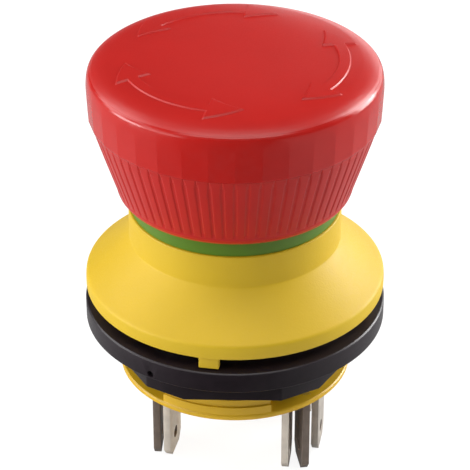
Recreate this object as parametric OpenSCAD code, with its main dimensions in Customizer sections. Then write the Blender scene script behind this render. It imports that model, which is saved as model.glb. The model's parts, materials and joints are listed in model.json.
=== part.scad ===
// Emergency stop button for a round panel hole, as an assembly of separate pieces.
// The origin is on the button's axis where the collar rests on the panel's front face.
// +Z points out of the panel towards the hand, and -Y is the side with the locating lug.

/* [Head] */
// Largest diameter of the mushroom head
head_d = 32; // [29:0.5:39]
// Diameter of the crown's flat part inside its rounded edge
crown_d = 30.3; // [24:0.1:31]
// Height of the domed crown above the faceted band
crown_h = 1.4; // [1:0.1:2.5]
// Height of the faceted band
band_h = 5.15; // [3:0.05:8]
// Height of the tapering skirt below the band
skirt_h = 9.2; // [6:0.1:13]
// Diameter of the skirt just above its lip
lip_d = 26; // [25.5:0.1:29]
// Number of flat facets around the band
facet_count = 36; // [24:1:48]
// Wall of the head
head_wall = 1.5; // [1:0.1:2.5]
// Height of the raised turn arrows
arrow_h = 0.15; // [0.05:0.01:0.3]

/* [Collar] */
// Diameter of the collar's rim
collar_d = 33.3; // [31:0.1:40]
// Height of the rim's upright wall
rim_h = 1.7; // [1:0.1:3]
// Height where the flare runs into the neck
flare_h = 6; // [5:0.1:8]
// Height of the whole collar
collar_h = 9.75; // [8.5:0.05:14]
// Diameter of the neck
neck_d = 23.5; // [22.5:0.1:24]
// Width of the locating lug
lug_w = 2.2; // [1.5:0.1:4]
// How far the locating lug reaches below the rim
lug_drop = 1.45; // [0.6:0.05:1.6]
// Height of the green ring that shows while the head is up
ring_show = 2.05; // [1:0.05:3]

/* [Barrel] */
// Outside diameter of the thread
thread_d = 22; // [21:0.1:22.2]
// Pitch of the thread
thread_pitch = 1.5; // [1:0.25:2]
// Bore of the barrel
bore_d = 16; // [15.6:0.1:16.2]
// Length of the barrel behind the panel face
barrel_drop = 9; // [8.5:0.1:14]

/* [Panel and nut] */
// Panel thickness that the nut is stored at
panel_t = 1.76; // [1:0.01:2.5]
// Diameter of the locking ring
lock_d = 33.6; // [30:0.1:38]
// Height of the locking ring
lock_h = 2.42; // [1.5:0.02:3]
// Width of the nut across its flats
nut_af = 28; // [26:0.5:30]
// Height of the nut
nut_h = 2.95; // [2:0.05:3.2]

/* [Contact base] */
// Diameter of the contact base's disc
base_d = 26.1; // [25.6:0.1:30]
// Thickness of the disc
base_t = 0.65; // [0.5:0.05:1.5]
// Width of a blade terminal
tab_w = 4.8; // [4:0.1:4.8]
// Thickness of a blade terminal
tab_t = 0.8; // [0.5:0.05:0.85]
// Length of a blade terminal below the disc
tab_drop = 10.1; // [7:0.05:14]
// Diameter of the hole in a blade terminal
tab_hole_d = 1.4; // [1:0.1:1.8]

/* [Mechanism] */
// Travel of the head from released to latched
travel = 3.6; // [2.5:0.1:3.8]
// Diameter of the stem
stem_d = 5; // [4:0.1:5.2]
// Diameter of a latch pin
pin_d = 2; // [1.5:0.1:2.2]
// Wire of the return spring
return_wire = 0.7; // [0.4:0.05:0.75]
// Wire of the smaller springs
fine_wire = 0.35; // [0.2:0.05:0.4]

/* [Hidden] */
$fn = 72;
// Overlap that makes a cut run clean through a face
cut = 1;
// Radial clearance of a sliding fit
slide_gap = 0.08;
// Radial clearance around pieces that pass each other freely
free_gap = 0.2;

// Head, from the lip upwards
lip_z = collar_h + ring_show;
band_z = lip_z + skirt_h;
crown_z = band_z + band_h;
top_z = crown_z + crown_h;
facet_r = head_d / 2;
band_low_r = facet_r - 0.25;
lip_r = lip_d / 2;
lip_in_r = neck_d / 2 + free_gap;
roof_z = top_z - 1.45 * head_wall;
// Fine lip below the skirt: its height and the height of its rounding
lip_h = 1.1;

// Barrel and what sits around it
thread_r = thread_d / 2;
thread_depth = 0.75;
tube_r = thread_r - 1.5;
bore_r = bore_d / 2;
tube_z = lip_z + 1.4;
gasket_r = neck_d / 2 + 2.65;
gasket_in_r = thread_r + 0.3;
gasket_t = 1;
oring_wire = 0.8;
oring_z = 1.2;
indicator_r = neck_d / 2 - 0.25;

// Locking ring and nut
lock_top = -panel_t;
lock_low = lock_top - lock_h;
nut_low = lock_low - nut_h;
relief_r = gasket_r + 0.2;
relief_h = 0.5;
dimple_d = 0.8;
dimple_rise = 0.6;
key_w = 2.4;
key_depth = 0.9;
nut_corner_r = nut_af / 2 + 0.78;
nut_turn = 8.8;

// Contact base
barrel_low = -barrel_drop;
base_r = base_d / 2;
disc_low = barrel_low - 0.9 - base_t;
disc_top = disc_low + base_t;
block_r = base_r - 0.15;
block_low_top = barrel_low - 0.15;
block_half_angle = 28;
ledge_z = barrel_low + 0.05;
wall_r = block_r - 0.25;
wall_in_r = thread_r + 0.3;
wall_top = barrel_low + 0.9;
cup_r = bore_r - 0.12;
cup_in_r = cup_r - 0.9;
cup_top = -travel + 1.9;
cup_floor = disc_top + 0.3;

// Fixed contacts, bridges and blades, for the right side; the left side mirrors x
strip_x = 3.5;
strip_w = 2.2;
strip_t = 0.5;
strip_z = cup_top - 2;
upright_y = 5.15;
strip_in_y = 3.1;
rivet_r = 0.8;
rivet_h = 0.4;
rivet_y = 3.9;
bridge_half = 4.75;
bridge_t = 0.6;
bridge_top = strip_z - 2 * rivet_h;
arm_t = 0.5;
arm_w = 1.5;
link_x = 9.9;
tab_low = disc_low - tab_drop;
tab_chamfer = 0.9;
tab_hole_rise = 2.2;

// Blade terminals by corner: centre x, centre y and turn about z
front_left = [[-6.4, -5.3, -3], [-8, -5.1, 6]];
front_right = [[6.95, -5.4, 3], [8.65, -5.25, 19]];
rear_left = [[-6.2, 5.9, 0], [-8, 5.7, 0]];
rear_right = [[link_x, -1.3, 0], [8, 5.7, 0]];

// Slider and stem
slider_r = bore_r - slide_gap;
slider_low = cup_top + travel + 0.4;
waist_r = bore_r - 1.4;
pocket_z = slider_low + 3.2;
pin_z = pocket_z + 1.7;
slider_top = pin_z + 1.7;
stem_r = stem_d / 2;
cam_r = stem_r + 0.7;
cam_gap_r = cam_r + slide_gap;
cam_low = pin_z - 1.1;
cam_top = slider_top - 0.5;
sleeve_r = stem_r + 1.7;
sleeve_top = slider_top + 3;
clip_t = 0.5;
hub_low = sleeve_top + clip_t + 0.1;
hub_r = sleeve_r - free_gap;
stem_top = roof_z - 1.6;
stem_foot_r = stem_r - 0.7;
stem_low = slider_low + 0.2;

// Latch pins, for the right side
pin_r = pin_d / 2;
pin_in = cam_gap_r + 2.3;
pin_tip = bore_r + 0.7;
slot_r = bore_r + 0.95;

// Points on a circular arc from angle a0 to a1
function arc(r, a0, a1, n) =
    [for (i = [0 : n]) let (a = a0 + (a1 - a0) * i / n) r * [cos(a), sin(a)]];

module tube(ro, ri, z0, z1) {
    translate([0, 0, z0])
        difference() {
            cylinder(r = ro, h = z1 - z0);
            translate([0, 0, -cut]) cylinder(r = ri, h = z1 - z0 + 2 * cut);
        }
}

module rod(r, z0, z1) {
    translate([0, 0, z0]) cylinder(r = r, h = z1 - z0);
}

// A box centred on x and y
module block(x, y, z0, z1) {
    translate([-x / 2, -y / 2, z0]) cube([x, y, z1 - z0]);
}

// A helical spring of round wire between two heights, swept as one polyhedron
module coil(r, wire, z0, z1, turns, sides = 8, steps = 20) {
    low = z0 + wire / 2;
    rise = z1 - z0 - wire;
    rings = round(turns * steps);
    pts = [
        for (i = [0 : rings], s = [0 : sides - 1])
            let (
                a = 360 * turns * i / rings,
                b = 360 * s / sides,
                q = r + wire / 2 * cos(b)
            )
            [q * cos(a), q * sin(a), low + rise * i / rings + wire / 2 * sin(b)]
    ];
    walls = [
        for (i = [0 : rings - 1], s = [0 : sides - 1])
            let (t = (s + 1) % sides, m = i * sides, n = m + sides)
            [m + s, n + s, n + t, m + t]
    ];
    first = [for (s = [0 : sides - 1]) s];
    last = [for (s = [sides - 1 : -1 : 0]) rings * sides + s];
    polyhedron(points = pts, faces = concat([first, last], walls), convexity = 10);
}

// Outline of the head's band and crown, from the axis outwards and down
module crown_profile() {
    edge = facet_r - 0.15;
    polygon(concat(
        [[0, band_z - 0.6], [0, top_z], [crown_d / 6, top_z], [crown_d / 3, top_z - 0.1]],
        [[crown_d / 2 - 1.5, top_z - 0.3], [crown_d / 2, top_z - 0.62]],
        [[edge - 0.35, top_z - 0.95], [edge, top_z - 1.7], [edge + 0.35, top_z - 2.95]],
        [[edge + 0.35, band_z], [facet_r - 0.45, band_z - 0.6]]
    ));
}

// The flat-sided frustum that gives the band its facets
module facet_frustum() {
    last = 360 - 360 / facet_count;
    hull() {
        translate([0, 0, band_z - cut])
            linear_extrude(height = 0.01) polygon(arc(band_low_r, 0, last, facet_count - 1));
        translate([0, 0, band_z + 3.5])
            linear_extrude(height = top_z - band_z) polygon(arc(facet_r, 0, last, facet_count - 1));
    }
}

// One turn arrow with a head at each end, drawn about the crown's axis
module arrow_plan() {
    r = crown_d / 2 - 3.5;
    half = 0.6;
    wing = 1.9;
    sweep = 26;
    tip = 18;
    polygon(concat(
        arc(r + half, -sweep, sweep, 14),
        [(r + wing) * [cos(sweep), sin(sweep)], r * [cos(sweep + tip), sin(sweep + tip)]],
        [(r - wing) * [cos(sweep), sin(sweep)]],
        arc(r - half, sweep, -sweep, 14),
        [(r - wing) * [cos(sweep), -sin(sweep)], r * [cos(sweep + tip), -sin(sweep + tip)]],
        [(r + wing) * [cos(sweep), -sin(sweep)]]
    ));
}

module arrows() {
    for (i = [0 : 2])
        rotate([0, 0, 120 * i])
            intersection() {
                translate([0, 0, top_z - 2]) linear_extrude(height = 3) arrow_plan();
                rotate_extrude()
                    polygon([
                        [crown_d / 2 - 6.5, top_z - 0.9], [crown_d / 2 - 6.5, top_z - 0.02 + arrow_h],
                        [crown_d / 2 - 1.5, top_z - 0.3 + arrow_h], [crown_d / 2 - 1, top_z - 1]
                    ]);
            }
}

// Skirt outline between the lip and the band
module skirt_profile() {
    polygon([
        [0, lip_z + lip_h], [lip_r, lip_z + lip_h], [facet_r - 0.4, band_z - 0.3],
        [facet_r - 0.45, band_z - 0.3], [facet_r - 0.45, band_z + 0.2], [0, band_z + 0.2]
    ]);
}

// The hollow under the crown, wide enough to pass over the neck
module head_hollow() {
    rotate_extrude()
        polygon([
            [hub_r, lip_z - cut], [lip_in_r, lip_z - cut], [lip_in_r, lip_z + 2.2],
            [facet_r - head_wall - 0.5, band_z], [facet_r - head_wall - 0.4, roof_z - 1],
            [facet_r - head_wall - 1.4, roof_z], [hub_r, roof_z]
        ]);
}

module head() {
    color("#c42626")
        difference() {
            union() {
                intersection() {
                    rotate_extrude() crown_profile();
                    facet_frustum();
                }
                rotate_extrude() skirt_profile();
                rotate_extrude()
                    polygon([
                        [0, lip_z], [lip_in_r + 0.25, lip_z], [lip_r - 0.4, lip_z + 0.35],
                        [lip_r, lip_z + lip_h], [lip_r, lip_z + lip_h + 0.1], [0, lip_z + lip_h + 0.1]
                    ]);
                arrows();
            }
            head_hollow();
            rod(stem_r, lip_z - cut, stem_top);
            rod(hub_r + cut, lip_z - cut, hub_low);
        }
}

module stem() {
    color("#8e9092")
        difference() {
            union() {
                rod(stem_r, cam_top - 0.1, stem_top);
                rod(cam_r, cam_low, cam_top);
                rod(stem_foot_r, stem_low, cam_low + 0.1);
            }
            for (side = [-1, 1])
                translate([0, side * (cam_r + stem_r - 0.6), 0])
                    block(2 * cam_r, 2 * stem_r, cam_low - cut, cam_top - 0.3);
            tube(stem_r + cut, stem_r - 0.4, sleeve_top, sleeve_top + clip_t);
        }
}

module stem_clip() {
    color("#b9bcc0")
        difference() {
            tube(sleeve_r - 0.3, stem_r - 0.4, sleeve_top, sleeve_top + clip_t);
            translate([0, -sleeve_r, 0])
                block(1.6, 2 * sleeve_r, sleeve_top - cut, sleeve_top + clip_t + cut);
        }
}

module torsion_spring() {
    color("#9fa2a6")
        coil((stem_foot_r + cam_gap_r) / 2, fine_wire, slider_low, cam_low, 4.5);
}

module slider() {
    color("#2d2e31")
        difference() {
            union() {
                rod(slider_r, slider_low, slider_top);
                rod(sleeve_r, slider_top - 0.1, sleeve_top);
            }
            rod(cam_gap_r, slider_low - cut, cam_top + slide_gap);
            rod(stem_r + slide_gap, cam_top, sleeve_top + cut);
            tube(slider_r + cut, waist_r, slider_low - cut, pocket_z);
            for (side = [0, 180])
                rotate([0, 0, side])
                    translate([pin_in - 1.6, 0, pin_z])
                        rotate([0, 90, 0]) cylinder(r = pin_r + 0.03, h = slider_r);
        }
}

module contact_pusher() {
    foot_depth = 2 * (strip_in_y - 0.5);
    color("#e8e4d8")
        union() {
            block(2 * strip_x + strip_w, foot_depth, bridge_top, bridge_top + 1.2);
            block(5, foot_depth, bridge_top, slider_low - 0.5);
            rod(waist_r - free_gap, slider_low - 0.8, slider_low);
        }
}

// A pin with a cone point, lying along x
module latch_pin(side) {
    color("#c9ccd0")
        rotate([0, 0, side])
            translate([pin_in, 0, pin_z])
                rotate([0, 90, 0])
                    union() {
                        cylinder(r = pin_r, h = bore_r - slide_gap - pin_in);
                        translate([0, 0, bore_r - slide_gap - pin_in])
                            cylinder(r1 = pin_r, r2 = pin_r - 0.5, h = pin_tip - bore_r + slide_gap);
                    }
}

module latch_spring(side) {
    color("#9fa2a6")
        rotate([0, 0, side])
            translate([pin_in - 1.55, 0, pin_z])
                rotate([0, 90, 0]) coil(pin_r - fine_wire, fine_wire, 0, 1.5, 2.5, 6, 16);
}

module return_spring() {
    color("#b4b7bb")
        coil((cup_in_r + cup_r) / 2 - 0.1, return_wire, cup_top, pocket_z, 3.5);
}

module threaded_barrel() {
    turns = floor((barrel_drop - 0.6) / thread_pitch);
    color("#242426")
        difference() {
            rotate_extrude()
                polygon(concat(
                    [[bore_r, barrel_low], [thread_r - thread_depth, barrel_low]],
                    [
                        for (i = [0 : turns - 1], p = [[0.1, 0], [0.42, 1], [0.58, 1], [0.9, 0]])
                            [
                                thread_r - thread_depth + thread_depth * p[1],
                                barrel_low + (i + p[0]) * thread_pitch
                            ]
                    ],
                    [[thread_r - thread_depth, 0], [tube_r, 0], [tube_r, tube_z], [bore_r, tube_z]]
                ));
            tube(tube_r + cut, tube_r - oring_wire, oring_z - oring_wire / 2, oring_z + oring_wire / 2);
            for (side = [0, 180])
                rotate([0, 0, side])
                    translate([slot_r - 1, 0, 0])
                        block(2, pin_d + 0.4, pin_z - travel - pin_r - 0.3, pin_z + pin_r + 0.3);
            translate([0, thread_r, 0]) block(key_w + 0.2, 2 * key_depth, barrel_low - cut, 0);
        }
}

// Collar outline, from the bore at the panel face round to the neck
module collar_profile() {
    rim_r = collar_d / 2;
    flare_r = rim_r - 0.5;
    flare_low = rim_h + 0.25;
    hollow = 1.1;
    polygon(concat(
        [[tube_r + 0.03, 0], [rim_r, 0], [rim_r + 0.02, rim_h * 0.45]],
        [[rim_r - 0.08, rim_h - 0.2]],
        [
            for (i = [0 : 6])
                let (t = i / 6)
                [
                    flare_r + (neck_d / 2 - flare_r) * t - hollow * t * (1 - t),
                    flare_low + (flare_h - flare_low) * t
                ]
        ],
        [[neck_d / 2, collar_h - 0.15], [neck_d / 2 - 0.15, collar_h], [tube_r + 0.03, collar_h]]
    ));
}

module bell_collar() {
    color("#e3ba2c")
        union() {
            difference() {
                rotate_extrude() collar_profile();
                tube(gasket_r + 0.1, thread_r - 0.2, -cut, gasket_t);
            }
            translate([0, -collar_d / 2 + 0.75, 0]) block(lug_w, 0.9, -lug_drop, 0.5);
        }
}

module panel_gasket() {
    color("#1d1d1e") tube(gasket_r, gasket_in_r, 0, gasket_t);
}

module collar_oring() {
    color("#161617")
        rotate_extrude()
            translate([tube_r - oring_wire / 2 + 0.02, oring_z]) circle(d = oring_wire);
}

module indicator_ring() {
    color("#3f9443")
        rotate_extrude()
            polygon([
                [tube_r, collar_h], [indicator_r, collar_h], [indicator_r, tube_z - 0.3],
                [indicator_r - 0.3, tube_z], [tube_r, tube_z]
            ]);
}

module wiper_seal() {
    color("#1b1b1d")
        rotate_extrude()
            polygon([
                [bore_r, tube_z - 0.7], [bore_r, tube_z], [sleeve_r + 1.2, tube_z],
                [sleeve_r + 0.35, tube_z + 0.5], [sleeve_r + 0.2, tube_z + 0.3],
                [sleeve_r + 1.1, tube_z - 0.7]
            ]);
}

module locking_ring() {
    color("#2a2629")
        difference() {
            union() {
                rotate_extrude()
                    polygon([
                        [thread_r + 0.1, lock_low], [lock_d / 2 - 0.15, lock_low],
                        [lock_d / 2, lock_low + 0.15], [lock_d / 2, lock_top - 0.15],
                        [lock_d / 2 - 0.15, lock_top], [relief_r, lock_top],
                        [relief_r, lock_top - relief_h], [thread_r + 0.1, lock_top - relief_h]
                    ]);
                translate([0, thread_r + 0.3 - key_depth / 2, 0])
                    block(key_w, key_depth, lock_low, lock_top - relief_h);
            }
            for (a = [-113, 67])
                rotate([0, 0, a])
                    translate([lock_d / 2 - 0.5, 0, lock_low + dimple_rise])
                        rotate([0, 90, 0]) cylinder(d = dimple_d, h = cut);
        }
}

// The nut is a hexagon with its six corners cut off flat
module nut_plan() {
    circumradius = nut_af / 2 / cos(30);
    intersection() {
        circle(r = circumradius, $fn = 6);
        rotate([0, 0, 30]) circle(r = nut_corner_r / cos(30), $fn = 6);
    }
}

module hex_nut() {
    color("#221f22")
        rotate([0, 0, nut_turn])
            difference() {
                translate([0, 0, nut_low]) linear_extrude(height = nut_h) nut_plan();
                rod(thread_r + 0.1, nut_low - cut, lock_low + cut);
            }
}

// Pie-shaped cutter of a half angle, centred on the +X axis
module wedge(r, half, z0, z1) {
    translate([0, 0, z0])
        linear_extrude(height = z1 - z0)
            polygon(concat([[0, 0]], arc(r / cos(half / 8), -half, half, 8)));
}

// A block under the barrel's end, and the wall on it that stands around the thread
module block_profile() {
    polygon([
        [bore_r + 1, disc_top - 0.1], [block_r, disc_top - 0.1], [block_r, ledge_z],
        [wall_r, ledge_z], [wall_r, wall_top], [wall_in_r, wall_top],
        [wall_in_r, block_low_top], [bore_r + 1, block_low_top]
    ]);
}

module contact_base() {
    color("#dfae25")
        difference() {
            union() {
                rotate_extrude()
                    polygon([
                        [0, disc_low], [base_r - 0.1, disc_low], [base_r, disc_low + 0.1],
                        [base_r, disc_top - 0.15], [base_r - 0.15, disc_top], [0, disc_top]
                    ]);
                for (a = [-90, 90])
                    intersection() {
                        rotate_extrude() block_profile();
                        rotate([0, 0, a])
                            wedge(block_r + 3, block_half_angle, disc_top - 0.2, wall_top + cut);
                    }
                rod(cup_r, disc_top - 0.1, cup_top);
            }
            rod(cup_in_r, cup_floor, cup_top + cut);
            for (x = [-1, 1], y = [-1, 1])
                translate([x * (strip_x + 3), y * (upright_y + arm_w / 2 - 0.1), 0])
                    block(strip_w + 6.3, arm_w + 0.4, disc_top, strip_z + strip_t + 0.5);
            for (t = concat(front_left, front_right, rear_left, rear_right))
                translate([t[0], t[1], 0])
                    rotate([0, 0, t[2]]) block(tab_t, tab_w, disc_low - cut, disc_top);
        }
}

// One flat blade with a cut-off tip and a hole, hanging below the disc
module blade(t) {
    translate([t[0], t[1], 0])
        rotate([0, 0, t[2]])
            difference() {
                rotate([90, 0, 90])
                    translate([0, 0, -tab_t / 2])
                        linear_extrude(height = tab_t)
                            polygon([
                                [-tab_w / 2, disc_top], [-tab_w / 2, tab_low + 1.1],
                                [-tab_w / 2 + tab_chamfer, tab_low], [tab_w / 2 - tab_chamfer, tab_low],
                                [tab_w / 2, tab_low + 1.1], [tab_w / 2, disc_top]
                            ]);
                translate([-tab_t, 0, tab_low + tab_hole_rise])
                    rotate([0, 90, 0]) cylinder(d = tab_hole_d, h = 2 * tab_t);
            }
}

// A stamped terminal: two blades, an arm on the disc, an upright and a contact strip
module terminal(pair, x_side, y_side) {
    in_x = strip_x - strip_w / 2;
    out_x = max([for (t = pair) abs(t[0])]) + tab_t / 2;
    color("#b9b3a8")
        union() {
            for (t = pair) {
                blade(t);
                translate([t[0], t[1], 0])
                    rotate([0, 0, t[2]]) block(tab_t, 0.8, disc_top - 0.5, disc_top + arm_t);
            }
            mirror([x_side < 0 ? 1 : 0, 0, 0])
                mirror([0, y_side < 0 ? 1 : 0, 0]) {
                    translate([in_x, upright_y - 0.15, disc_top]) cube([out_x - in_x, arm_w, arm_t]);
                    translate([in_x, upright_y, disc_top])
                        cube([strip_w, strip_t, strip_z + strip_t - disc_top]);
                    translate([in_x, strip_in_y, strip_z])
                        cube([strip_w, upright_y + strip_t - strip_in_y, strip_t]);
                }
        }
}

module terminal_rear_right() {
    color("#b9b3a8")
        union() {
            terminal(rear_right, 1, 1);
            translate([link_x - tab_t / 2, -0.5, disc_top])
                cube([tab_t, upright_y + arm_w + 0.35, arm_t]);
        }
}

module contact_rivets() {
    color("#d7d9dc")
        for (x = [-strip_x, strip_x], y = [-rivet_y, rivet_y])
            translate([x, y, 0]) rod(rivet_r, strip_z - rivet_h, strip_z);
}

// A moving bridge with its two contacts, pushed up against the fixed ones
module bridge(side) {
    color("#c9955a")
        translate([side * strip_x, 0, 0])
            union() {
                block(strip_w - 0.2, 2 * bridge_half, bridge_top - bridge_t, bridge_top);
                for (y = [-rivet_y, rivet_y])
                    translate([0, y, 0]) rod(rivet_r, bridge_top - 0.1, bridge_top + rivet_h);
            }
}

module contact_spring(side) {
    color("#9fa2a6")
        translate([side * strip_x, 0, 0])
            coil(0.85, fine_wire, cup_floor, bridge_top - bridge_t, 3.5, 6, 16);
}

head();
stem();
stem_clip();
torsion_spring();
slider();
contact_pusher();
latch_pin(180);  // latch_pin_left
latch_pin(0);  // latch_pin_right
latch_spring(180);  // latch_spring_left
latch_spring(0);  // latch_spring_right
return_spring();
threaded_barrel();
bell_collar();
panel_gasket();
collar_oring();
indicator_ring();
wiper_seal();
locking_ring();
hex_nut();
contact_base();
terminal(front_left, -1, -1);  // terminal_front_left
terminal(front_right, 1, -1);  // terminal_front_right
terminal(rear_left, -1, 1);  // terminal_rear_left
terminal_rear_right();
contact_rivets();
bridge(-1);  // bridge_left
bridge(1);  // bridge_right
contact_spring(-1);  // contact_spring_left
contact_spring(1);  // contact_spring_right
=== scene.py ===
"""Looks for a panel emergency stop button: the visible pieces, their finishes and a small studio."""

import json
import math

import bmesh
import bpy
from bpy.props import FloatProperty, FloatVectorProperty, IntProperty, PointerProperty
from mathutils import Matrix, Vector


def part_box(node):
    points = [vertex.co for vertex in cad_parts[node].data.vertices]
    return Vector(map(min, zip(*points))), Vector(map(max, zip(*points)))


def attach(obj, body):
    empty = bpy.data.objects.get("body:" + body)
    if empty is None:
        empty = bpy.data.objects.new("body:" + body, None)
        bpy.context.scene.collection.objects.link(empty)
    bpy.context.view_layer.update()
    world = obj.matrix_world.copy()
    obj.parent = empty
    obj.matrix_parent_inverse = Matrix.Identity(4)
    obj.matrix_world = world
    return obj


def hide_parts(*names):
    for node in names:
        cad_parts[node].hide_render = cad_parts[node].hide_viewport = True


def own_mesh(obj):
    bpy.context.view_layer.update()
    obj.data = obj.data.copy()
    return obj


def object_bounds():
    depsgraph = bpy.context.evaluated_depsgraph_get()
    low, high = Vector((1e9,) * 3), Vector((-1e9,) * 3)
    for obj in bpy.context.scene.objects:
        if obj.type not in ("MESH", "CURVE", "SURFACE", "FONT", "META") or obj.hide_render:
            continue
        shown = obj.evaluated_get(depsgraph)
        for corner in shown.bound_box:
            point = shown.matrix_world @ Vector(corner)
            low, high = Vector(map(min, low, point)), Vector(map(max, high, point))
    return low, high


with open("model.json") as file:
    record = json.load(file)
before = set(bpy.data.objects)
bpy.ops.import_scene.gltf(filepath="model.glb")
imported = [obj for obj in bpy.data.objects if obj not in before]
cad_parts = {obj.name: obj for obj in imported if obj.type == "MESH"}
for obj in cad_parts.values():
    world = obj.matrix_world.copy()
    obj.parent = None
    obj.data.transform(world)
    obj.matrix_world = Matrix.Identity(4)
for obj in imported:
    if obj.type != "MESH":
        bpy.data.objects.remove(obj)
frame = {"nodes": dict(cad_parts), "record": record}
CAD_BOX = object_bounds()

bl_info = {
    "name": "Emergency stop button",
    "version": (1, 0, 0),
    "blender": (4, 5, 0),
    "location": "View3D > Sidebar > Stop Button",
    "description": "Builds the pieces, finishes and studio of a panel emergency stop button",
    "category": "Object",
}

MM = 0.001
TURN = 2 * math.pi

# Softboxes: name, place in metres, width, height and power
LAMPS = (
    ("softbox_right", (0.37, 0.26, 0.22), 0.22, 0.3, 2.1),
    ("softbox_right_low", (0.37, 0.24, 0.045), 0.2, 0.12, 0.8),
    ("softbox_back_right", (0.16, 0.42, 0.06), 0.5, 0.15, 0.5),
    ("softbox_left", (-0.42, 0.05, 0.3), 0.3, 0.36, 1.2),
    ("softbox_left_low", (-0.41, -0.11, 0.05), 0.2, 0.13, 0.8),
    ("softbox_front_left", (-0.36, -0.32, 0.16), 0.32, 0.3, 0.75),
    ("softbox_top", (0.03, -0.17, 0.47), 0.54, 0.34, 1.35),
)
# Strength of the even fill light, and of the floor in reflections in front of and behind the button
FILL = 0.07
GLOW = (0.0, 0.55)
# Colour of the floor and the air as the camera sees them
WHITE = "#FFFFFF"


def linear(hex_text):
    """An sRGB hex colour as linear red, green, blue and alpha."""
    parts = [int(hex_text[i:i + 2], 16) / 255 for i in (1, 3, 5)]
    return tuple(p / 12.92 if p <= 0.04045 else ((p + 0.055) / 1.055) ** 2.4 for p in parts) + (1.0,)


def shade(colour, factor):
    """The same colour, lighter or darker."""
    return tuple(min(1.0, c * factor) for c in colour[:3]) + (1.0,)


def smooth_step(low, high, value):
    """0 below low, 1 above high, and a soft rise between."""
    t = min(1.0, max(0.0, (value - low) / (high - low)))
    return t * t * (3 - 2 * t)


def top(name):
    """The height of a CAD piece's highest point, in millimetres."""
    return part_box(name)[1][2] / MM


def bottom(name):
    """The height of a CAD piece's lowest point, in millimetres."""
    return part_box(name)[0][2] / MM


def radius(name):
    """Half of a round CAD piece's width, in millimetres."""
    low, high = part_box(name)
    return (high[0] - low[0]) / 2 / MM


# ---------------------------------------------------------------- sizes and colours


def colour_property(name, description, hex_text):
    """A colour setting whose default is an sRGB hex colour."""
    return FloatVectorProperty(
        name=name, description=description, subtype="COLOR", size=4, min=0.0, max=1.0,
        default=linear(hex_text),
    )


def length_property(name, description, millimetres):
    """A length setting whose default is given in millimetres."""
    return FloatProperty(
        name=name, description=description, default=millimetres * MM, unit="LENGTH", min=0.0
    )


def angle_property(name, description, degrees):
    """An angle setting whose default is given in degrees."""
    return FloatProperty(
        name=name, description=description, default=math.radians(degrees), unit="ROTATION"
    )


class HeadSizes(bpy.types.PropertyGroup):
    colour: colour_property("Red", "Colour of the moulded head", "#BE1E19")
    facets: IntProperty(name="Facets", description="Flat faces round the band", default=36, min=12)
    ribs: IntProperty(name="Ribs", description="Grip ribs round the skirt", default=72, min=12)
    rib_depth: length_property("Rib depth", "Depth of the grooves between the ribs", 0.1)
    arrow_height: length_property("Arrow height", "Height of the turn arrows above the crown", 0.15)
    skirt_height: length_property("Skirt height", "From the lip up to the faceted band", 9.2)
    crown_height: length_property("Crown height", "From the lip up to the crown's middle", 15.75)
    lip_radius: length_property("Lip radius", "Radius where the skirt meets its lip", 13.0)


class CollarSizes(bpy.types.PropertyGroup):
    colour: colour_property("Yellow", "Colour of the moulded collar", "#D4B117")
    indicator: colour_property("Green", "Colour of the ring that shows while the head is up", "#5B841A")
    base: colour_property("Base yellow", "Colour of the moulded contact base", "#E0B21C")
    grain: length_property("Grain", "Size of the eroded grain on the collar", 0.2)


class NutSizes(bpy.types.PropertyGroup):
    colour: colour_property("Black", "Colour of the glass-filled nut and ring", "#231A20")
    edge: length_property("Edge", "Rounding of the moulded edges", 0.14)


class BladeSizes(bpy.types.PropertyGroup):
    colour: colour_property("Tin", "Colour of the tin plating", "#F0E6DA")
    # Painted shade on the outer blades, and painted shade with the punch's burr on the hole walls
    shade_and_burr: colour_property("Burred_and_shaded tin", "Colour of the plating where it has gone dull", "#8A7C72")
    edge: length_property("Edge", "Coined chamfer round the blades", 0.09)


class StudioSizes(bpy.types.PropertyGroup):
    azimuth: angle_property("Azimuth", "Camera angle round the button", 9.9)
    elevation: angle_property("Elevation", "Camera angle above level", 31.3)
    distance: length_property("Distance", "Camera distance from the button's axis", 243.5)
    aim_height: length_property("Aim height", "Height on the axis that the camera looks at", 5.43)
    lens: FloatProperty(
        name="Lens", description="Focal length in millimetres", default=167.74, min=20.0, unit="CAMERA"
    )


class ButtonSettings(bpy.types.PropertyGroup):
    head: PointerProperty(type=HeadSizes)
    collar: PointerProperty(type=CollarSizes)
    nut: PointerProperty(type=NutSizes)
    blade: PointerProperty(type=BladeSizes)
    studio: PointerProperty(type=StudioSizes)


# ---------------------------------------------------------------- materials


def add(tree, kind, settings=None, values=None, links=None):
    """Adds a node with its settings, its input values and the sockets that feed its inputs."""
    made = tree.nodes.new(kind)
    for name, value in (settings or {}).items():
        setattr(made, name, value)
    for name, value in (values or {}).items():
        made.inputs[name].default_value = value
    for name, source in (links or {}).items():
        tree.links.new(source, made.inputs[name])
    return made


def surface(name, values):
    """A new material with one Principled shader. Returns the material, its tree and the shader."""
    made = bpy.data.materials.new(name)
    made.use_nodes = True
    tree = made.node_tree
    tree.nodes.clear()
    shader = add(tree, "ShaderNodeBsdfPrincipled", values=values)
    add(tree, "ShaderNodeOutputMaterial", links={"Surface": shader.outputs["BSDF"]})
    return made, tree, shader


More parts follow.
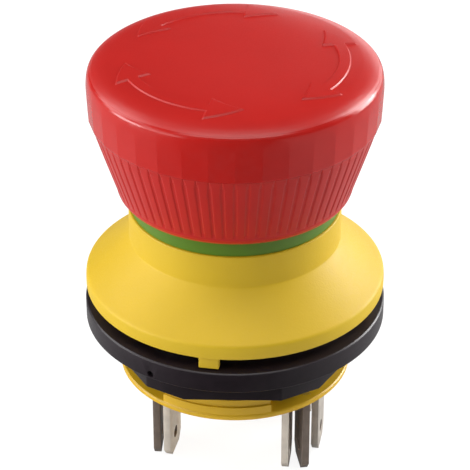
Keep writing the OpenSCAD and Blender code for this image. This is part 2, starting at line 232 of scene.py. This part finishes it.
def textured(
    name, values, colour, variation, blotch_mm, grain_mm, relief_mm, roughness, rough_spread,
    stretch=None,
):
    """A surface whose colour varies in blotches and whose gloss and height vary with a finer grain."""
    made, tree, shader = surface(name, values)
    # Blotches and grains are about as wide as their millimetres say, in the object's own space. Real
    # tool and rolling marks are a few hundredths wide: they are drawn 0.08 to 0.3 mm wide to show
    place = add(tree, "ShaderNodeTexCoord").outputs["Object"]
    drawn_out = place
    if stretch:
        mapping = add(tree, "ShaderNodeMapping", values={"Scale": stretch}, links={"Vector": place})
        drawn_out = mapping.outputs["Vector"]
    blotch, grain = [
        add(
            tree, "ShaderNodeTexNoise",
            values={"Scale": 1 / (size_mm * MM), "Detail": detail, "Roughness": 0.55},
            links={"Vector": vector},
        ).outputs["Fac"]
        for size_mm, detail, vector in ((blotch_mm, 3.0, place), (grain_mm, 2.0, drawn_out))
    ]
    # Noise lies mostly between 0.3 and 0.7, and is spread from there over the range it is to fill
    share, gloss = [
        add(
            tree, "ShaderNodeMapRange",
            values={"From Min": 0.3, "From Max": 0.7, "To Min": low, "To Max": high},
            links={"Value": source},
        ).outputs["Result"]
        for source, low, high in (
            (blotch, 0.0, 1.0), (grain, roughness - rough_spread, roughness + rough_spread),
        )
    ]
    dark, light = shade(colour, 1 - variation), shade(colour, 1 + variation)
    tone = add(tree, "ShaderNodeMix", {"data_type": "RGBA"}, {6: dark, 7: light}, {0: share})
    bump = add(
        tree, "ShaderNodeBump",
        values={"Strength": 1.0, "Distance": relief_mm * MM}, links={"Height": grain},
    )
    tree.links.new(tone.outputs[2], shader.inputs["Base Color"])
    tree.links.new(gloss, shader.inputs["Roughness"])
    tree.links.new(bump.outputs["Normal"], shader.inputs["Normal"])
    return made


def moulded(
    name, colour, roughness, grain_mm, relief_mm, variation=0.05, blotch_mm=4.0, rough_spread=0.06,
    specular=0.5,
):
    """Moulded plastic: colour, gloss and grain vary a little over it, as they do off a steel tool."""
    values = {"IOR": 1.54, "Metallic": 0.0, "Specular IOR Level": specular}
    return textured(
        name, values, colour, variation, blotch_mm, grain_mm, relief_mm, roughness, rough_spread
    )


def metal(
    name, colour, roughness, grain_mm, relief_mm, stretch=(1, 1, 1), variation=0.08, blotch_mm=1.5,
    metallic=1.0,
):
    """Bare or plated metal with the fine lines or pits that rolling, turning or plating leaves."""
    return textured(
        name, {"Metallic": metallic}, colour, variation, blotch_mm, grain_mm, relief_mm, roughness,
        rough_spread=0.07, stretch=stretch,
    )


# ---------------------------------------------------------------- mesh helpers


def mark_sharp(mesh, degrees):
    """Smooth shading with crisp edges where two faces meet at more than this angle."""
    work = bmesh.new()
    work.from_mesh(mesh)
    for edge in work.edges:
        edge.smooth = not edge.is_manifold or edge.calc_face_angle(0.0) < math.radians(degrees)
    for face in work.faces:
        face.smooth = True
    work.to_mesh(mesh)
    work.free()


def piece(name, mesh, body, nodes, materials, sharp=30):
    """Puts a mesh in the scene as a piece that stands for CAD nodes and moves with their body."""
    mark_sharp(mesh, sharp)
    made = bpy.data.objects.new(name, mesh)
    bpy.context.scene.collection.objects.link(made)
    for finish in materials:
        mesh.materials.append(finish)
    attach(made, body)
    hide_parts(*nodes)
    return made


def rings_to_mesh(name, rings):
    """A closed mesh from rings of points round the axis. The last ring joins the first."""
    count = len(rings[0])
    points = [p for ring in rings for p in ring]
    faces = []
    for i in range(len(rings)):
        a, b = i * count, ((i + 1) % len(rings)) * count
        for j in range(count):
            k = (j + 1) % count
            faces.append((a + j, a + k, b + k, b + j))
    mesh = bpy.data.meshes.new(name)
    mesh.from_pydata(points, [], faces)
    work = bmesh.new()
    work.from_mesh(mesh)
    bmesh.ops.remove_doubles(work, verts=work.verts, dist=1e-7)
    bmesh.ops.recalc_face_normals(work, faces=work.faces)
    work.to_mesh(mesh)
    work.free()
    return mesh


def rounded(points, size, steps=4):
    """A closed outline in millimetres. Each corner is rounded by size, or by its own third value."""
    longest = 0.45  # of either side next to the corner
    out = []
    for i, corner in enumerate(points):
        want = corner[2] if len(corner) > 2 else size
        here = Vector(corner[:2])
        back = Vector(points[i - 1][:2]) - here
        ahead = Vector(points[(i + 1) % len(points)][:2]) - here
        reach = min(want, back.length * longest, ahead.length * longest)
        if reach <= 0:
            out.append(tuple(here))
            continue
        a, b = here + back.normalized() * reach, here + ahead.normalized() * reach
        for s in range(steps + 1):
            t = s / steps
            out.append(tuple(a * (1 - t) ** 2 + here * 2 * t * (1 - t) + b * t ** 2))
    return out


def lathe(name, outline, segments=256):
    """A closed outline of radius and height, in millimetres, turned about the axis."""
    angles = [TURN * j / segments for j in range(segments)]
    rings = [
        [(r * MM * math.cos(a), r * MM * math.sin(a), z * MM) for a in angles] for r, z in outline
    ]
    return rings_to_mesh(name, rings)


def box_mesh(name, low, high):
    """A box between two corners in millimetres."""
    work = bmesh.new()
    bmesh.ops.create_cube(work, size=1.0)
    for vertex in work.verts:
        place = [low[i] + (high[i] - low[i]) * (vertex.co[i] + 0.5) for i in range(3)]
        vertex.co = Vector([value * MM for value in place])
    mesh = bpy.data.meshes.new(name)
    work.to_mesh(mesh)
    work.free()
    return mesh


def bevelled(mesh, width, segments=3, degrees=30):
    """Rounds a mesh's sharp edges in place."""
    work = bmesh.new()
    work.from_mesh(mesh)
    bmesh.ops.remove_doubles(work, verts=work.verts, dist=2e-6)
    bmesh.ops.dissolve_limit(work, angle_limit=math.radians(0.4), verts=work.verts, edges=work.edges)
    edges = [e for e in work.edges if e.is_manifold and e.calc_face_angle(0.0) > math.radians(degrees)]
    bmesh.ops.bevel(
        work, geom=edges, offset=width, segments=segments, profile=0.5, affect="EDGES",
        clamp_overlap=True, offset_type="OFFSET",
    )
    bmesh.ops.recalc_face_normals(work, faces=work.faces)
    work.to_mesh(mesh)
    work.free()


def traced(node, name):
    """A copy of a CAD node's mesh, for a piece that keeps its exact shape."""
    mesh = frame["nodes"][node].data.copy()
    mesh.name = name
    mesh.materials.clear()
    return mesh


def dress(names, finish):
    """Gives CAD nodes a finish. They keep their own meshes."""
    for name in names:
        mesh = frame["nodes"][name].data
        mesh.materials.clear()
        mesh.materials.append(finish)


# ---------------------------------------------------------------- head


def facet_reach(angle, facets):
    """How far a flat-sided ring stands in from its corners' circle, as a factor of their radius."""
    step = TURN / facets
    off = (angle % step) - step / 2
    return math.cos(step / 2) / math.cos(off)


def arrow_lift(x, y):
    """1 on a turn arrow, 0 off it, with a short slope between. Millimetres about the axis."""
    # Radius of the shaft's middle line, and half the widths of the shaft, the point and the slope
    middle, half, wing, soft = 11.65, 0.6, 1.9, 0.06
    neck, tip = middle * math.radians(26), middle * math.radians(44)
    slope = wing / (tip - neck)
    r, angle = math.hypot(x, y), math.atan2(y, x)
    best = -math.inf
    for centre in (0.0, TURN / 3, -TURN / 3):
        along = middle * abs((angle - centre + math.pi) % TURN - math.pi)
        side = abs(r - middle)
        shaft = min(half - side, neck + half - along)
        point = min(along - neck, ((tip - along) * slope - side) / math.hypot(1, slope))
        best = max(best, shaft, point)
    return smooth_step(-soft, soft, best)


class BUTTON_OT_head(bpy.types.Operator):
    """Builds the mushroom head: nearly flat crown, turn arrows, faceted band and ribbed skirt"""

    bl_idname = "button.head"
    bl_label = "Head"

    def execute(self, context):
        sizes = context.scene.button.head
        lip_z, big_r = bottom("head"), radius("head")
        top_z = lip_z + sizes.crown_height / MM
        band_z = lip_z + sizes.skirt_height / MM
        lip_r = sizes.lip_radius / MM
        per_rib = 10
        segments = sizes.ribs * per_rib
        angles = [TURN * j / segments for j in range(segments)]
        crown, band, skirt = 0, 1, 2
        rings, zones = [], []

        def add_ring(reaches, z, zone):
            """Adds a ring at one height or a height for each angle. The zone picks its material."""
            heights = z if isinstance(z, list) else [z] * segments
            rings.append([
                (reach * math.cos(a) * MM, reach * math.sin(a) * MM, height * MM)
                for reach, a, height in zip(reaches, angles, heights)
            ])
            zones.append(zone)

        # Crown: nearly flat, with closely spaced rings where the arrows stand
        fall, fall_r, fall_power = 0.1, 10.1, 4.8
        for r in [0.4, 2, 4, 6, 7.5, 9.0] + [9.4 + 0.09 * i for i in range(48)]:
            height = top_z - fall * (r / fall_r) ** fall_power
            lifts = [arrow_lift(r * math.cos(a), r * math.sin(a)) for a in angles]
            heights = [height + lift * sizes.arrow_height / MM for lift in lifts]
            add_ring([r] * segments, heights, crown)
        # Rounded edge: radius and drop below the crown's middle. It runs out into the flats
        edge = [
            (13.95, 0.5), (14.3, 0.6), (14.65, 0.73), (15.0, 0.9), (15.28, 1.08), (15.48, 1.25),
            (15.61, 1.39), (15.71, 1.53), (15.78, 1.69), (15.84, 1.91), (15.89, 2.2), (15.94, 2.6),
            (16.0, 3.15),
        ]
        flats = [big_r * facet_reach(a, sizes.facets) for a in angles]
        # How softly it does so, the drop where the band's gloss starts, and a cap that keeps exp small
        soft, gloss_drop, cap = 0.05, 1.3, 40
        for r, drop in edge:
            overs = [min(cap, (r - flat) / soft) for flat in flats]
            reaches = [r - soft * math.log(1 + math.exp(over)) for over in overs]
            add_ring(reaches, top_z - drop, band if drop > gloss_drop else crown)
        # Flats of the band, tapering down to the fold above the skirt
        low_r = big_r - 0.2
        edge_z = top_z - edge[-1][1]
        for up, tuck in ((1.6, 0.0), (0.22, 0.0), (0.06, 0.05), (0.0, 0.16)):
            corner = low_r + (big_r - low_r) * up / (edge_z - band_z)
            reaches = [corner * facet_reach(a, sizes.facets) - tuck for a in angles]
            add_ring(reaches, band_z + up, band)
        # Skirt: broad ribs with narrow grooves that start in a point under the band and end at the
        # lip. A groove's half width and each place's distance from it are shares of the ribs' spacing
        steps, fold_r, fold_z, ribbed = 18, 15.6, band_z - 0.02, 8.2
        groove_half, bulge = 0.22, 1.04
        offs = [abs((j / per_rib + 0.5) % 1.0 - 0.5) for j in range(segments)]
        for i in range(steps + 1):
            t = i / steps
            mean = fold_r - (fold_r - lip_r) * t ** bulge
            half = groove_half * smooth_step(0.0, 0.14, t)
            ends = (1 - smooth_step(0.95, 1.0, t)) * smooth_step(-0.02, 0.04, t)
            depth = sizes.rib_depth / MM * ends
            grooves = [1 - smooth_step(half * 0.25, half + 0.02, off) for off in offs]
            add_ring([mean - depth * groove for groove in grooves], fold_z - t * ribbed, skirt)
        # Rounded lip, then the hollow underneath with the hub and the stem's bore
        inner_r, hub_r, bore_r, hub_z = 11.95, 4.0, 2.5, 12.5
        under = [
            (lip_r - 0.03, lip_z + 0.75), (lip_r - 0.14, lip_z + 0.45), (lip_r - 0.36, lip_z + 0.16),
            (lip_r - 0.6, lip_z + 0.02), (lip_r - 0.8, lip_z), (inner_r + 0.03, lip_z + 0.03),
            (inner_r, lip_z + 0.2), (inner_r, lip_z + 2.2), (14.0, band_z), (14.1, top_z - 3.2),
            (13.1, top_z - 2.2), (hub_r, top_z - 2.2), (hub_r, hub_z), (bore_r, hub_z),
            (bore_r, top_z - 3.8), (0.4, top_z - 3.8),
        ]
        for r, z in under:
            add_ring([r] * segments, z, skirt)
        mesh = bpy.data.meshes.new("head_shell")
        faces, indices = [], []
        for i in range(len(rings) - 1):
            a, b = i * segments, (i + 1) * segments
            for j in range(segments):
                k = (j + 1) % segments
                faces.append((a + j, b + j, b + k, a + k))
                indices.append(zones[i + 1])
        faces.append(tuple(range(segments)))
        faces.append(tuple(range((len(rings) - 1) * segments, len(rings) * segments))[::-1])
        indices += [crown, skirt]
        mesh.from_pydata([p for ring in rings for p in ring], [], faces)
        mesh.polygons.foreach_set("material_index", indices)
        mesh.update()
        red = tuple(sizes.colour)
        # PBT moulded against a spark-eroded face: a satin skin with a very fine even grain
        crown_finish = moulded(
            "PBT_moulded_satin_red", red, 0.36, 0.14, 0.004, variation=0.03, blotch_mm=6
        )
        # PBT moulded against a polished face: nearly smooth, so it mirrors the softboxes
        # Its red, a shade darker than the crown's, is painted shade
        band_finish = moulded(
            "PBT_moulded_gloss_red", shade(red, 0.95), 0.2, 0.5, 0.0015, variation=0.03, specular=0.42
        )
        # The same plastic on the grip ribs, worn a little rougher by the tool's fine marks
        skirt_finish = moulded(
            "PBT_moulded_ribbed_red", red, 0.34, 0.14, 0.0008, variation=0.03, rough_spread=0.03,
            specular=0.36,
        )
        finishes = [crown_finish, band_finish, skirt_finish]
        piece("head_shell", mesh, "head", ["head"], finishes, sharp=7)
        return {"FINISHED"}


# ---------------------------------------------------------------- collar, indicator, nut, base


class BUTTON_OT_collar(bpy.types.Operator):
    """Builds the bell collar with its lug and the indicator ring above it"""

    bl_idname = "button.collar"
    bl_label = "Collar"

    def execute(self, context):
        sizes = context.scene.button.collar
        high, rim = top("bell_collar"), radius("bell_collar")
        neck, tube = 11.75, 9.53
        seat_r, seat_z = 14.5, 1.0
        flare_r, flare_low, flare_high, hollow, steps = rim - 0.52, 1.95, 6.0, 1.1, 16
        # Radius, height and rounding of each corner: the gasket's seat, then the rim
        outline = [(tube, seat_z, 0.05), (seat_r, seat_z, 0.05), (seat_r, 0.0, 0.05), (rim, 0.0, 0.12)]
        outline += [(rim + 0.02, 0.8, 0.3), (rim - 0.04, 1.6, 0.5)]
        # The flare is a slightly hollow cone that meets the upright neck in a soft crease
        for i in range(steps + 1):
            t = i / steps
            r = flare_r + (neck - flare_r) * t - hollow * t * (1 - t)
            z = flare_low + (flare_high - flare_low) * t
            outline.append((r, z, 0.12 if i in (0, steps) else 0.0))
        outline += [(neck, high, 0.18), (tube, high, 0.05)]
        mesh = lathe("collar_bell", rounded(outline, 0.0))
        yellow = tuple(sizes.colour)
        # Polycarbonate moulded against a fine eroded tool: matte with a visible sparkle of grain. The
        # real pits are about 0.05 mm across, and are drawn four times as coarse so that they show
        finish = moulded(
            "polycarbonate_moulded_grained_yellow", yellow, 0.54, sizes.grain / MM, 0.014,
            variation=0.03, blotch_mm=8, rough_spread=0.1, specular=0.4,
        )
        piece("collar_bell", mesh, "housing", ["bell_collar"], [finish], sharp=32)
        half = 1.1
        lug_low, lug_high = (-half, -rim + 0.32, bottom("bell_collar")), (half, -rim + 1.18, 0.3)
        lug = box_mesh("collar_lug", lug_low, lug_high)
        bevelled(lug, 0.1 * MM)
        piece("collar_lug", lug, "housing", [], [finish])
        # Tinted polycarbonate, smooth moulded: a soft even green
        green = moulded(
            "polycarbonate_moulded_green", tuple(sizes.indicator), 0.36, 0.3, 0.001,
            variation=0.03, blotch_mm=6, rough_spread=0.02,
        )
        ring_top, bore, wall = top("indicator_ring"), 9.5, 11.5
        outline = [(bore, high, 0.02), (wall, high, 0.05), (wall, ring_top, 0.3), (bore, ring_top, 0.1)]
        mesh = lathe("indicator_band", rounded(outline, 0.05))
        piece("indicator_band", mesh, "housing", ["indicator_ring"], [green], sharp=40)
        return {"FINISHED"}


class BUTTON_OT_nut(bpy.types.Operator):
    """Builds the locking ring and the hexagonal nut with moulded edges"""

    bl_idname = "button.nut"
    bl_label = "Locking ring and nut"

    def execute(self, context):
        sizes = context.scene.button.nut
        black = tuple(sizes.colour)
        # Glass-filled nylon: satin black, slightly mottled where fibres lie near the skin
        ring_finish = moulded(
            "nylon_glass_filled_satin_black", black, 0.36, 0.16, 0.004,
            variation=0.16, blotch_mm=1.2, rough_spread=0.08, specular=0.45,
        )
        mesh = traced("locking_ring", "ring_flange")
        bevelled(mesh, sizes.edge * 0.5, segments=2)
        piece(
            "ring_flange", mesh, "locking_ring", ["locking_ring"], [ring_finish],
            sharp=35,
        )
        mesh = traced("hex_nut", "nut_hexagon")
        bevelled(mesh, sizes.edge, segments=3)
        piece("nut_hexagon", mesh, "nut", ["hex_nut"], [ring_finish], sharp=35)
        return {"FINISHED"}


class BUTTON_OT_base(bpy.types.Operator):
    """Builds the contact base with softened moulded edges"""

    bl_idname = "button.base"
    bl_label = "Contact base"

    def execute(self, context):
        sizes = context.scene.button.collar
        # The collar's plastic off a smoother tool: brighter glints on thin edges
        finish = moulded(
            "polycarbonate_moulded_smooth_yellow", tuple(sizes.base), 0.36, 0.3, 0.001,
            variation=0.03, blotch_mm=6, rough_spread=0.02,
        )
        mesh = traced("contact_base", "base_moulding")
        bevelled(mesh, 0.07 * MM, segments=2, degrees=40)
        piece("base_moulding", mesh, "housing", ["contact_base"], [finish], sharp=35)
        return {"FINISHED"}


class BUTTON_OT_terminals(bpy.types.Operator):
    """Builds the stamped blade terminals with coined edges"""

    bl_idname = "button.terminals"
    bl_label = "Terminals"

    def execute(self, context):
        sizes = context.scene.button.blade
        # Stamped brass with matte tin plating: pale warm grey, fine rolling lines along the blade. The
        # plating scatters more light than it mirrors, so it counts as only partly metallic
        bright = metal(
            "brass_stamped_tin_plated", tuple(sizes.colour), 0.42, 0.12, 0.003,
            stretch=(1, 1, 0.06), variation=0.1, blotch_mm=2.0, metallic=0.3,
        )
        # The plating darker and browner: painted shade on outer blades, painted shade and burr in the
        # holes
        shade_and_burr_finish = metal(
            "brass_stamped_tin_shade_and_burr", tuple(sizes.shade_and_burr), 0.4, 0.12, 0.003,
            stretch=(1, 1, 0.06), variation=0.14, blotch_mm=1.5, metallic=0.3,
        )
        # The plating a shade darker: painted shade all over the rear terminals
        rear_shade_finish = metal(
            "brass_stamped_tin_rear_shade", shade(tuple(sizes.colour), 0.66), 0.42, 0.12, 0.003,
            stretch=(1, 1, 0.06), variation=0.12, blotch_mm=2.0, metallic=0.3,
        )
        # The middle of each blade's hole, and how near it the punched walls are. They get painted shade
        # and burr
        hole_rise, hole_reach = 2.2 * MM, 0.95 * MM
        holes = [
            Vector(mount["pos_m"]) + Vector((0, 0, hole_rise))
            for mount in frame["record"]["mounts"] if mount["name"].startswith("tab_")
        ]
        # Between the two blades of a pair: a point on the line that parts them, how many degrees the
        # blades are turned, and the side of the outer one
        parting = {"front_left": (-7.2, -5.2, 1.5, -1), "front_right": (7.8, -5.3, 11, 1)}
        for corner in ("front_left", "front_right", "rear_left", "rear_right"):
            mesh = traced("terminal_" + corner, "blades_" + corner)
            bevelled(mesh, sizes.edge, segments=2, degrees=40)
            outer = set()
            if corner in parting:
                x, y, turn, side = parting[corner]
                turn = math.radians(turn)
                across = Vector((math.cos(turn), math.sin(turn), 0)) * side
                # The outer blade's faces below the contact base get painted shade
                outer = {
                    face.index for face in mesh.polygons
                    if (face.center - Vector((x * MM, y * MM, 0))).dot(across) > 0
                    and face.center.z < bottom("contact_base") * MM
                }
            for face in mesh.polygons:
                spots = [mesh.vertices[i].co for i in face.vertices]
                wall = any(all((spot - hole).length < hole_reach for spot in spots) for hole in holes)
                # Hole walls and outer blades take the second finish: painted shade, with burr on the
                # hole walls
                face.material_index = int(wall or face.index in outer)
            # The rear terminals take the darker copy of the plating, which is painted shade
            piece(
                "blades_" + corner, mesh, "housing", ["terminal_" + corner],
                [bright if corner in parting else rear_shade_finish, shade_and_burr_finish], sharp=35,
            )
        return {"FINISHED"}


class BUTTON_OT_inner(bpy.types.Operator):
    """Gives the barrel, seals, springs and contacts their finishes"""

    bl_idname = "button.inner"
    bl_label = "Inner pieces"

    def execute(self, context):
        black = tuple(context.scene.button.nut.colour)
        # Glass-filled nylon of the barrel, cut threads a little rougher than the nut's skin
        thread = moulded(
            "nylon_glass_filled_thread_black", black, 0.45, 0.15, 0.006, variation=0.15, blotch_mm=1.0
        )
        dress(["threaded_barrel"], thread)
        # Acetal, smooth and slightly waxy
        dress(["slider"], moulded("acetal_moulded_black", linear("#202022"), 0.32, 0.3, 0.002))
        dress(["contact_pusher"], moulded("acetal_moulded_ivory", linear("#E2DCCB"), 0.35, 0.3, 0.002))
        # Nitrile rubber, matte with a slight bloom
        rubber = moulded(
            "nitrile_rubber_moulded", linear("#1B1B1C"), 0.62, 0.2, 0.006, variation=0.12, blotch_mm=1.5
        )
        dress(["panel_gasket", "collar_oring", "wiper_seal"], rubber)
        # Turned steel with zinc plating: fine rings round the rod
        steel = metal(
            "steel_turned_zinc_plated", linear("#B8BBBE"), 0.26, 0.1, 0.002, stretch=(0.1, 0.1, 1)
        )
        dress(["stem", "stem_clip", "latch_pin_left", "latch_pin_right"], steel)
        # Drawn spring wire, darker and smooth
        wire = metal("steel_drawn_spring_wire", linear("#9DA0A4"), 0.28, 0.08, 0.001)
        dress(["torsion_spring"], wire)
        # Springs, copied from their CAD coils onto their bodies: node, body, joint, their axis and the
        # end that stays
        for node, body, joint, along, end in (
            ("return_spring", "housing", "head_press", 2, 0),
            ("contact_spring_left", "housing", "head_press", 2, 0),
            ("contact_spring_right", "housing", "head_press", 2, 0),
            ("latch_spring_left", "slider", "latch_left", 0, 1),
            ("latch_spring_right", "slider", "latch_right", 0, 0),
        ):
            low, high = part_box(node)
            anchor = (low + high) / 2
            anchor[along] = (low, high)[end][along]
            mesh = traced(node, node + "_coil")
            coil = piece(node + "_coil", mesh, body, [node], [wire])
            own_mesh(coil)
        # Phosphor bronze strip, rolled
        bronze = metal("phosphor_bronze_rolled", linear("#C58F5C"), 0.3, 0.1, 0.002)
        dress(["bridge_left", "bridge_right"], bronze)
        # Silver alloy contacts, pressed
        dress(["contact_rivets"], metal("silver_alloy_pressed", linear("#DADADA"), 0.3, 0.15, 0.002))
        return {"FINISHED"}


# ---------------------------------------------------------------- stage


def softbox(name, place, aim, width, height, power):
    """A rectangular lamp that faces a point. Places are in metres."""
    lamp = bpy.data.lights.new(name, "AREA")
    lamp.shape = "RECTANGLE"
    lamp.size, lamp.size_y, lamp.energy = width, height, power
    made = bpy.data.objects.new(name, lamp)
    made.location = place
    made.rotation_euler = (Vector(aim) - Vector(place)).to_track_quat("-Z", "Y").to_euler()
    bpy.context.scene.collection.objects.link(made)


def paper_floor():
    """White paper: white to the camera with a faint shadow, and brighter behind in reflections."""
    made = bpy.data.materials.new("paper_white_floor")
    made.use_nodes = True
    tree = made.node_tree
    tree.nodes.clear()
    ray = add(tree, "ShaderNodeLightPath")
    paper = add(tree, "ShaderNodeBsdfDiffuse", values={"Color": linear("#E7E7E7")})
    faint = add(tree, "ShaderNodeBsdfDiffuse", values={"Color": linear("#7C7C7C")})
    place = add(tree, "ShaderNodeTexCoord").outputs["Object"]
    # A shade under white near the button, where its shadow falls, and full white farther out
    reach = add(tree, "ShaderNodeVectorMath", {"operation": "LENGTH"}, links={0: place})
    level = add(
        tree, "ShaderNodeMapRange",
        values={"From Min": 0.06, "From Max": 0.2, "To Min": 0.9, "To Max": 1.0},
        links={"Value": reach.outputs["Value"]},
    )
    white = add(
        tree, "ShaderNodeEmission",
        values={"Color": linear(WHITE)}, links={"Strength": level.outputs["Result"]},
    )
    seen = add(tree, "ShaderNodeAddShader", links={0: faint.outputs[0], 1: white.outputs[0]})
    parts = add(tree, "ShaderNodeSeparateXYZ", links={"Vector": place})
    aside = add(tree, "ShaderNodeMath", {"operation": "ABSOLUTE"}, links={0: parts.outputs["X"]})
    away = add(
        tree, "ShaderNodeMath", {"operation": "MULTIPLY_ADD"}, {1: 1.2},
        {0: aside.outputs[0], 2: parts.outputs["Y"]},
    )
    strength = add(
        tree, "ShaderNodeMapRange",
        values={"From Min": -0.03, "From Max": 0.06, "To Min": GLOW[0], "To Max": GLOW[1]},
        links={"Value": away.outputs[0]},
    )
    mirrored = add(
        tree, "ShaderNodeEmission",
        values={"Color": linear(WHITE)}, links={"Strength": strength.outputs["Result"]},
    )
    off_camera = add(
        tree, "ShaderNodeMixShader",
        links={0: ray.outputs["Is Glossy Ray"], 1: paper.outputs[0], 2: mirrored.outputs[0]},
    )
    result = add(
        tree, "ShaderNodeMixShader",
        links={0: ray.outputs["Is Camera Ray"], 1: off_camera.outputs[0], 2: seen.outputs[0]},
    )
    add(tree, "ShaderNodeOutputMaterial", links={"Surface": result.outputs[0]})
    return made


def studio_air(scene):
    """White behind the button for the camera, and a soft even fill on it."""
    world = bpy.data.worlds.new("studio_air")
    scene.world = world
    world.use_nodes = True
    tree = world.node_tree
    tree.nodes.clear()
    ray = add(tree, "ShaderNodeLightPath")
    strength = add(
        tree, "ShaderNodeMapRange", values={"To Min": FILL, "To Max": 1.0},
        links={"Value": ray.outputs["Is Camera Ray"]},
    )
    back = add(
        tree, "ShaderNodeBackground",
        values={"Color": linear(WHITE)}, links={"Strength": strength.outputs["Result"]},
    )
    add(tree, "ShaderNodeOutputWorld", links={"Surface": back.outputs[0]})


class BUTTON_OT_stage(bpy.types.Operator):
    """Sets the floor, soft lamps and camera"""

    bl_idname = "button.stage"
    bl_label = "Studio"

    def execute(self, context):
        scene = context.scene
        sizes = scene.button.studio
        scene.view_settings.view_transform = "Standard"
        low, half = CAD_BOX[0][2], 1.5
        mesh = bpy.data.meshes.new("floor")
        corners = [(-half, -half, low), (half, -half, low), (half, half, low), (-half, half, low)]
        mesh.from_pydata(corners, [], [(0, 1, 2, 3)])
        floor = bpy.data.objects.new("floor", mesh)
        scene.collection.objects.link(floor)
        mesh.materials.append(paper_floor())
        studio_air(scene)
        aim = Vector((0, 0, sizes.aim_height))
        for name, place, width, height, power in LAMPS:
            softbox(name, place, aim, width, height, power)

        camera = bpy.data.objects.new("camera", bpy.data.cameras.new("camera"))
        scene.collection.objects.link(camera)
        reach = sizes.distance * math.cos(sizes.elevation)
        rise = sizes.distance * math.sin(sizes.elevation)
        camera.location = (
            reach * math.sin(sizes.azimuth), -reach * math.cos(sizes.azimuth), sizes.aim_height + rise,
        )
        camera.rotation_euler = (aim - camera.location).to_track_quat("-Z", "Y").to_euler()
        camera.data.sensor_width = 36
        camera.data.lens = sizes.lens
        camera.data.clip_start = 0.01
        scene.camera = camera
        return {"FINISHED"}


OPERATORS = (
    BUTTON_OT_head, BUTTON_OT_collar, BUTTON_OT_nut, BUTTON_OT_base, BUTTON_OT_terminals,
    BUTTON_OT_inner, BUTTON_OT_stage,
)


class BUTTON_PT_sidebar(bpy.types.Panel):
    """Lists the button's pieces in the 3D view's sidebar"""

    bl_idname = "BUTTON_PT_sidebar"
    bl_label = "Stop Button"
    bl_space_type = "VIEW_3D"
    bl_region_type = "UI"
    bl_category = "Stop Button"

    def draw(self, context):
        for operator in OPERATORS:
            self.layout.operator(operator.bl_idname)


SETTINGS = (HeadSizes, CollarSizes, NutSizes, BladeSizes, StudioSizes, ButtonSettings)
CLASSES = SETTINGS + OPERATORS + (BUTTON_PT_sidebar,)


def register():
    for item in CLASSES:
        bpy.utils.register_class(item)
    bpy.types.Scene.button = PointerProperty(type=ButtonSettings)


def unregister():
    del bpy.types.Scene.button
    for item in reversed(CLASSES):
        bpy.utils.unregister_class(item)


def main():
    """Builds every piece and the stage."""
    register()
    for operator in OPERATORS:
        group, name = operator.bl_idname.split(".")
        getattr(getattr(bpy.ops, group), name)()
    bpy.context.view_layer.update()


if __name__ == "__main__":
    main()
